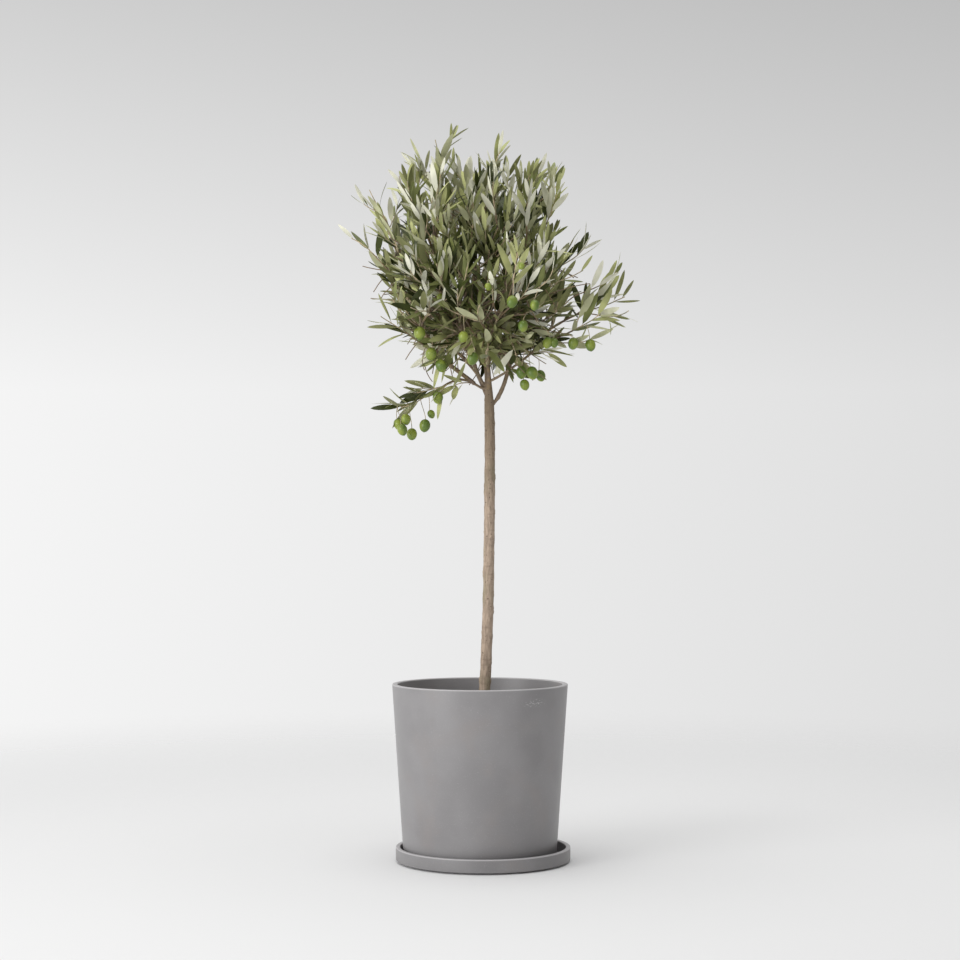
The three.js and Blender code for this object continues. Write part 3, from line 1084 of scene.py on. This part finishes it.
# Each tint's share, old to young, in the dark, and by how much it changes in full light. The
# darker, older tints go mostly to shoots deep and low in the crown and the paler, younger ones to
# its lit outside and top: partly the leaves' age, and partly painted shade and painted light.
TOP_SHARES = np.array([[0.55, 0.35, 0.1], [-0.4, 0.1, 0.3]])
UNDER_SHARES = np.array([[0.6, 0.3, 0.1], [-0.5, 0.05, 0.45]])


def along(line, marks, at):
    """The place at a distance along a line whose points are at the marks."""
    return np.array([np.interp(at, marks, line[:, i]) for i in range(3)])


def dealt(rng, shares, bright):
    """A tint's number, dealt out by the tints' shares."""
    dark, change = shares
    return rng.choice(len(dark), p=dark + change * bright)


class Foliage:
    """The crown's leaves, grown in pairs along its shoots."""

    def __init__(self, crown, growth, leaf, rng):
        self.crown, self.growth, self.leaf, self.rng = crown, growth, leaf, rng
        self.leaves = Leaves(leaf)

    def grow_along(self, line, habit):
        """Pairs of leaves along a shoot's points, each pair square to the last."""
        crown, rng, tip = self.crown, self.rng, line[-1]
        marks = np.append(0, np.cumsum(np.linalg.norm(np.diff(line, axis=0), axis=1)))
        end = marks[-1]
        turn = rng.uniform(0, math.pi)
        vigour = rng.normal(1, 0.09)
        # how well lit the shoot's tip is from its place in the crown; its tints grow paler with it,
        # partly painted light
        bright = smooth(0.45, 1.0, crown.depth(tip)) * smooth(0.1, 0.6, crown.rise(tip))
        bright = 1 if habit is LEADING else bright
        tints = dealt(rng, TOP_SHARES, bright), dealt(rng, UNDER_SHARES, bright)
        at = max(end * habit["bare"], end - LEAFY)
        while at < end + 1e-6:
            place = along(line, marks, at)
            ahead = min(at + 6 * MM, end)
            way = unit(along(line, marks, ahead) - along(line, marks, ahead - 12 * MM))
            youth = smooth(45 * MM, 0, end - at)
            across = unit(np.cross(way, UP + 0.01))
            other = np.cross(way, across)
            for side in (0, math.pi):
                angle = turn + side + rng.normal(0, 0.15)
                out = across * math.cos(angle) + other * math.sin(angle)
                self.bear(place, way, out, youth, vigour, habit, tints)
            at += self.growth.node_gap * rng.uniform(0.85, 1.2) * (habit["apart"] - 0.4 * youth)
            turn += math.pi / 2 + rng.normal(0, 0.12)

    def bear(self, place, way, out, youth, vigour, habit, tints):
        """A leaf that leaves its shoot at a place, on the side that is out, unless it fell or
        would stand too far out. Young ones are smaller and lie closer to the shoot."""
        crown, rng = self.crown, self.rng
        spread = math.radians(rng.normal(37 - 15 * youth, 8))
        axis = unit(way * math.cos(spread) + out * math.sin(spread))
        axis = unit(axis + UP * 0.3 * smooth(0.15, 0.45, crown.rise(place)))
        size = self.leaf.length * vigour * rng.normal(1, 0.12) * (1 - habit["small"] * youth)
        size = min(max(size, SMALLEST), LARGEST)
        stay = habit["stay"]
        if habit is INNER:
            stay = stay * smooth(0.12, 0.5, crown.depth(place))
        end = place + axis * size
        too_far = habit["out"] + habit["foot"] * crown.foot(place)
        if rng.random() > stay or crown.outside(end) > too_far:
            return
        if max(*(cad_low - Vector(end)), *(Vector(end) - cad_high)) > self.growth.overhang:
            return
        light = UP * 0.75 + crown.outward(place) * 0.35 + rng.normal(0, 0.42, 3)
        light = light + out * -0.35
        normal = unit(light - axis * axis.dot(light))
        slim = self.leaf.slimness * rng.normal(1, 0.1)
        bend, twist, fold = rng.normal(-0.15, 0.28), rng.normal(0, 0.18), rng.normal(0.1, 0.16)
        top, under = tints
        top = min(max(top + rng.choice([0, 0, 0, 1, -1]), 0), TOPS - 1)
        self.leaves.add(place, axis, normal, size, slim, bend, twist, fold, top, under)


def all_leaves(grown, growth, leaf, rng):
    """The leaves of every shoot, with those of the side shoots last."""
    crown, wood, shoots, sides, leading = grown
    foliage = Foliage(crown, growth, leaf, rng)
    runs = [(run, INNER) for run in shoots[:leading]]
    runs += [(run, LEADING) for run in shoots[leading:]]
    runs += [(run, ASIDE) for run in sides]
    for run, habit in runs:
        foliage.grow_along(np.array([wood.places[n] for n in run]), habit)
    return foliage.leaves


def build_leaves(grown, growth, leaf, wood_settings):
    leaves = all_leaves(grown, growth, leaf, np.random.default_rng(growth.seed + 1))
    materials = leaf_materials(leaf, wood_settings)
    piece = mesh_piece("leaves", leaves.points, leaves.faces, materials, leaves.kinds)
    shade(piece, 50)
    finish_piece(piece, MASSES)


# ---- Fruit ------------------------------------------------------------------------------------

# Where olives hang, as shares of a mass's box, with each one's size as a share of a full one.
FRUIT = {
    "spray_low_left": [
        ((0.24, 0.40, 0.21), 1.0), ((0.35, 0.25, 0.27), 0.95), ((0.30, 0.20, 0.13), 1.0),
        ((0.43, 0.45, 0.08), 1.05), ((0.62, 0.35, 0.19), 1.1), ((0.71, 0.50, 0.35), 0.75),
        ((0.81, 0.30, 0.56), 1.05),
    ],
    "skirt_front_left": [
        ((0.74, 0.40, -0.27), 1.1), ((0.62, 0.35, -0.11), 1.1), ((0.49, 0.20, 0.17), 1.15),
        ((0.74, 0.10, 0.66), 0.75),
    ],
    "skirt_front_right": [
        ((0.23, 0.30, -0.03), 1.1), ((0.12, 0.20, 0.27), 0.95), ((0.81, 0.10, 0.41), 0.95),
    ],
    "skirt_right": [
        ((0.29, 0.20, -0.07), 1.1), ((0.42, 0.10, -0.09), 1.15), ((0.53, 0.30, -0.11), 1.0),
        ((0.33, 0.25, -0.25), 0.95), ((0.61, 0.05, 0.35), 1.0), ((0.69, 0.05, 0.35), 0.85),
    ],
    "spray_low_right": [((0.29, 0.40, -0.04), 1.05), ((0.06, 0.30, -0.02), 1.05)],
    "waist_front_right": [
        ((0.38, 0.12, 0.05), 1.05), ((0.60, 0.15, 0.02), 0.9), ((0.15, 0.15, 0.20), 0.65),
        ((0.47, 0.06, 0.39), 0.6),
    ],
}


def olive_skin(settings):
    """An unripe olive's skin: smooth and waxy green with tiny pale dots."""
    material, tree, shader, place = new_material("unripe_olive_skin", 0.34, 0.5)
    patch = speckle(tree, place, 25 * MM, 1)
    dots = speckle(tree, place, 1.2 * MM, 1, low=0.64, high=0.7)
    base = laid_over(tree, list(settings.green), list(settings.ripe), patch)
    base = laid_over(tree, base, linear("b9c27a"), dots, 0.35)
    tree.links.new(base, shader.inputs["Base Color"])
    return material


RINGS, AROUND = 11, 16  # the steps from an olive's one end to the other, and its sides


def add_olive(points, faces, centre, tilt, long, wide):
    """Adds an olive, a little fuller at its stalk end, and gives that end."""
    first = len(points)
    for ring in range(1, RINGS):
        polar = math.pi * ring / RINGS
        egg = 1 + 0.06 * math.cos(polar)
        for k in range(AROUND):
            angle = 2 * math.pi * k / AROUND
            across = wide * math.sin(polar) * math.cos(angle) * egg
            deep = wide * math.sin(polar) * math.sin(angle) * egg
            local = Vector((across, deep, long * math.cos(polar)))
            points.append(np.array(tilt @ local) + centre)
    top, bottom = len(points), len(points) + 1
    for end in (long * 0.93, -long * 1.06):
        points.append(np.array(tilt @ Vector((0, 0, end))) + centre)
    for ring in range(RINGS - 2):
        a, b = first + ring * AROUND, first + (ring + 1) * AROUND
        for k in range(AROUND):
            after = (k + 1) % AROUND
            faces.append((a + k, b + k, b + after, a + after))
    for k in range(AROUND):
        after = (k + 1) % AROUND
        faces.append((top, first + k, first + after))
        faces.append((bottom, b + after, b + k))
    return points[top]


def stalk(wood, tree, end, rng):
    """A stalk's points, from the nearest twig above an olive to the olive's end."""
    found = [
        (wood.places[i], away)
        for _, i, away in tree.find_n(Vector(end + UP * 20 * MM), 60)
        if wood.places[i][2] > end[2] + 6 * MM
    ]
    if not found:
        raise RuntimeError("no twig above an olive")
    twig = min(found, key=lambda f: f[1])[0]
    leave = unit(end - twig - UP * 0.01)
    return [twig] + arc(twig, leave, end - UP * MM, -UP, 4 * MM, rng)


def build_fruit(grown, settings, wood_settings):
    crown, wood = grown[:2]
    rng = np.random.default_rng(5)
    tree = nearest(wood.places)
    points, faces, stalks = [], [], []
    for name, fruits in FRUIT.items():
        low, high = crown.boxes[name]
        for shares, grown_size in fruits:
            centre = low + (high - low) * np.array(shares)
            long, wide = settings.length * grown_size / 2, settings.width * grown_size / 2
            lean = Matrix.Rotation(rng.normal(0, 0.25), 3, "X")
            tilt = lean @ Matrix.Rotation(rng.normal(0, 0.25), 3, "Y")
            end = add_olive(points, faces, centre, tilt, long, wide)
            line = stalk(wood, tree, end, rng)
            stalks.append((line, [0.6 * MM] * len(line)))
    piece = mesh_piece("olives", points, faces, [olive_skin(settings)])
    shade(piece, 180)
    finish_piece(piece)
    stem = twig_material("olive_stalk", wood_settings.shoot, wood_settings.bark_green, 8 * MM)
    piece = mesh_piece("olive_stalks", *tubes(stalks, 5), [stem])
    shade(piece, 60)
    finish_piece(piece)


# ---- Stage ------------------------------------------------------------------------------------


KEY_AT, KEY_AIM, KEY_WIDTH = (-2.9, -2.6, 1.3), (0, 0, 0.7), 2.4
OVERHEAD_AT, OVERHEAD_AIM, OVERHEAD_WIDTH = (0, 0, 3.2), (0, 0, 0), 3.0
SKY_LEFT, SKY_RIGHT = 1.37, 0.54  # how bright the studio is at either side
FLOOR_NEAR, FLOOR_FAR = 0.5, 3.0  # where the floor starts to fade, and where it has gone


def soft_light(name, place, aim, size, power):
    """A round lamp that faces a place."""
    lamp = bpy.data.lights.new(name, "AREA")
    lamp.shape = "DISK"
    lamp.size = size
    lamp.energy = power
    made = bpy.data.objects.new(name, lamp)
    made.location = place
    made.rotation_euler = (Vector(aim) - Vector(place)).to_track_quat("-Z", "Y").to_euler()
    bpy.context.scene.collection.objects.link(made)


def build_stage(settings):
    bpy.ops.object.select_all(action="DESELECT")
    bpy.ops.mesh.primitive_circle_add(vertices=96, radius=6, fill_type="NGON", location=(0, 0, 0))
    floor = bpy.context.object
    floor.name = "studio_floor"
    material, tree, shader, place = new_material("studio_paper", 0.9, 0.1)
    shader.inputs["Base Color"].default_value = list(settings.paper)
    away = add(tree, "ShaderNodeVectorMath", {0: place}, operation="LENGTH").outputs["Value"]
    fade = add(
        tree,
        "ShaderNodeMapRange",
        {"Value": away, "From Min": FLOOR_NEAR, "From Max": FLOOR_FAR, "To Min": 1, "To Max": 0},
        interpolation_type="SMOOTHSTEP",
    ).outputs[0]
    tree.links.new(fade, shader.inputs["Alpha"])
    floor.data.materials.append(material)

    world = bpy.data.worlds.new("studio")
    bpy.context.scene.world = world
    world.use_nodes = True
    sky = world.node_tree
    way = add(sky, "ShaderNodeTexCoord").outputs["Generated"]
    parts = add(sky, "ShaderNodeSeparateXYZ", {0: way}).outputs
    rise = add(sky, "ShaderNodeMapRange", {"Value": parts["Z"], "From Min": 0.07, "From Max": 0.3})
    tint = laid_over(sky, list(settings.low_sky), list(settings.high_sky), rise.outputs[0])
    across = add(
        sky,
        "ShaderNodeMapRange",
        {"Value": parts["X"], "From Min": -1, "To Min": SKY_LEFT, "To Max": SKY_RIGHT},
    )
    sky.links.new(tint, sky.nodes["Background"].inputs["Color"])
    sky.links.new(across.outputs[0], sky.nodes["Background"].inputs["Strength"])

    soft_light("key", KEY_AT, KEY_AIM, KEY_WIDTH, settings.key)
    soft_light("overhead", OVERHEAD_AT, OVERHEAD_AIM, OVERHEAD_WIDTH, settings.overhead)

    camera = bpy.data.cameras.new("camera")
    camera.lens = settings.lens
    camera.sensor_width = 36
    camera.shift_y = settings.rise
    made = bpy.data.objects.new("camera", camera)
    made.location = (0, -settings.distance, settings.height)
    made.rotation_euler = (math.radians(90), 0, 0)
    bpy.context.scene.collection.objects.link(made)
    bpy.context.scene.camera = made
    bpy.context.scene.view_settings.view_transform = "Standard"


# ---- Operators and panel ----------------------------------------------------------------------

_grown = {}


def grown_tree(scene):
    """The grown crown, worked out once for the pieces that share it."""
    if "crown" not in _grown:
        _grown["crown"] = grow(scene.olive_growth)
    return _grown["crown"]


class OLIVE_OT_planter(bpy.types.Operator):
    """Adds the planter and the saucer"""

    bl_idname = "olive.planter"
    bl_label = "Planter and saucer"

    def execute(self, context):
        pottery = context.scene.olive_pottery
        vessel(
            "planter_pot", "planter", pottery.foot, pottery.wall, pottery.floor, pottery.lip,
            pottery.recess, stoneware(pottery, "planter", 1),
        )
        vessel(
            "planter_saucer", "saucer", 1, pottery.saucer_wall, pottery.saucer_floor,
            pottery.saucer_lip, pottery.recess, stoneware(pottery, "saucer", pottery.saucer_tone),
        )
        return {"FINISHED"}


class OLIVE_OT_soil(bpy.types.Operator):
    """Adds the compost's surface and its crumbs"""

    bl_idname = "olive.soil"
    bl_label = "Compost"

    def execute(self, context):
        build_soil(context.scene.olive_soil)
        return {"FINISHED"}


class OLIVE_OT_wood(bpy.types.Operator):
    """Adds the stem and the boughs below the crown"""

    bl_idname = "olive.wood"
    bl_label = "Stem and boughs"

    def execute(self, context):
        build_wood(context.scene.olive_wood)
        return {"FINISHED"}


class OLIVE_OT_twigs(bpy.types.Operator):
    """Adds the twigs and leafy shoots of the crown"""

    bl_idname = "olive.twigs"
    bl_label = "Twigs"

    def execute(self, context):
        scene = context.scene
        build_twigs(grown_tree(scene), scene.olive_wood, scene.olive_growth)
        return {"FINISHED"}


class OLIVE_OT_leaves(bpy.types.Operator):
    """Adds the leaves"""

    bl_idname = "olive.leaves"
    bl_label = "Leaves"

    def execute(self, context):
        scene = context.scene
        build_leaves(grown_tree(scene), scene.olive_growth, scene.olive_leaf, scene.olive_wood)
        return {"FINISHED"}


class OLIVE_OT_fruit(bpy.types.Operator):
    """Adds the olives and their stalks"""

    bl_idname = "olive.fruit"
    bl_label = "Olives"

    def execute(self, context):
        scene = context.scene
        build_fruit(grown_tree(scene), scene.olive_fruit, scene.olive_wood)
        return {"FINISHED"}


class OLIVE_OT_stage(bpy.types.Operator):
    """Adds the floor, the light and the camera"""

    bl_idname = "olive.stage"
    bl_label = "Stage"

    def execute(self, context):
        build_stage(context.scene.olive_stage)
        return {"FINISHED"}


OPERATORS = (
    OLIVE_OT_planter,
    OLIVE_OT_soil,
    OLIVE_OT_wood,
    OLIVE_OT_twigs,
    OLIVE_OT_leaves,
    OLIVE_OT_fruit,
    OLIVE_OT_stage,
)


class OLIVE_PT_panel(bpy.types.Panel):
    """Lists the tree's operators"""

    bl_idname = "OLIVE_PT_panel"
    bl_label = "Olive tree"
    bl_space_type = "VIEW_3D"
    bl_region_type = "UI"
    bl_category = "Olive tree"

    def draw(self, context):
        for operator in OPERATORS:
            self.layout.operator(operator.bl_idname)


SETTINGS = {
    "olive_pottery": PotterySettings,
    "olive_soil": SoilSettings,
    "olive_wood": WoodSettings,
    "olive_growth": GrowthSettings,
    "olive_leaf": LeafSettings,
    "olive_fruit": FruitSettings,
    "olive_stage": StageSettings,
}


def register():
    for cls in (*SETTINGS.values(), *OPERATORS, OLIVE_PT_panel):
        bpy.utils.register_class(cls)
    for name, cls in SETTINGS.items():
        setattr(bpy.types.Scene, name, bpy.props.PointerProperty(type=cls))


def unregister():
    for name in SETTINGS:
        delattr(bpy.types.Scene, name)
    for cls in (OLIVE_PT_panel, *reversed(OPERATORS), *SETTINGS.values()):
        bpy.utils.unregister_class(cls)


def main():
    register()
    bpy.ops.olive.planter()
    bpy.ops.olive.soil()
    bpy.ops.olive.wood()
    bpy.ops.olive.twigs()
    bpy.ops.olive.leaves()
    bpy.ops.olive.fruit()
    bpy.ops.olive.stage()


if __name__ == "__main__":
    main()
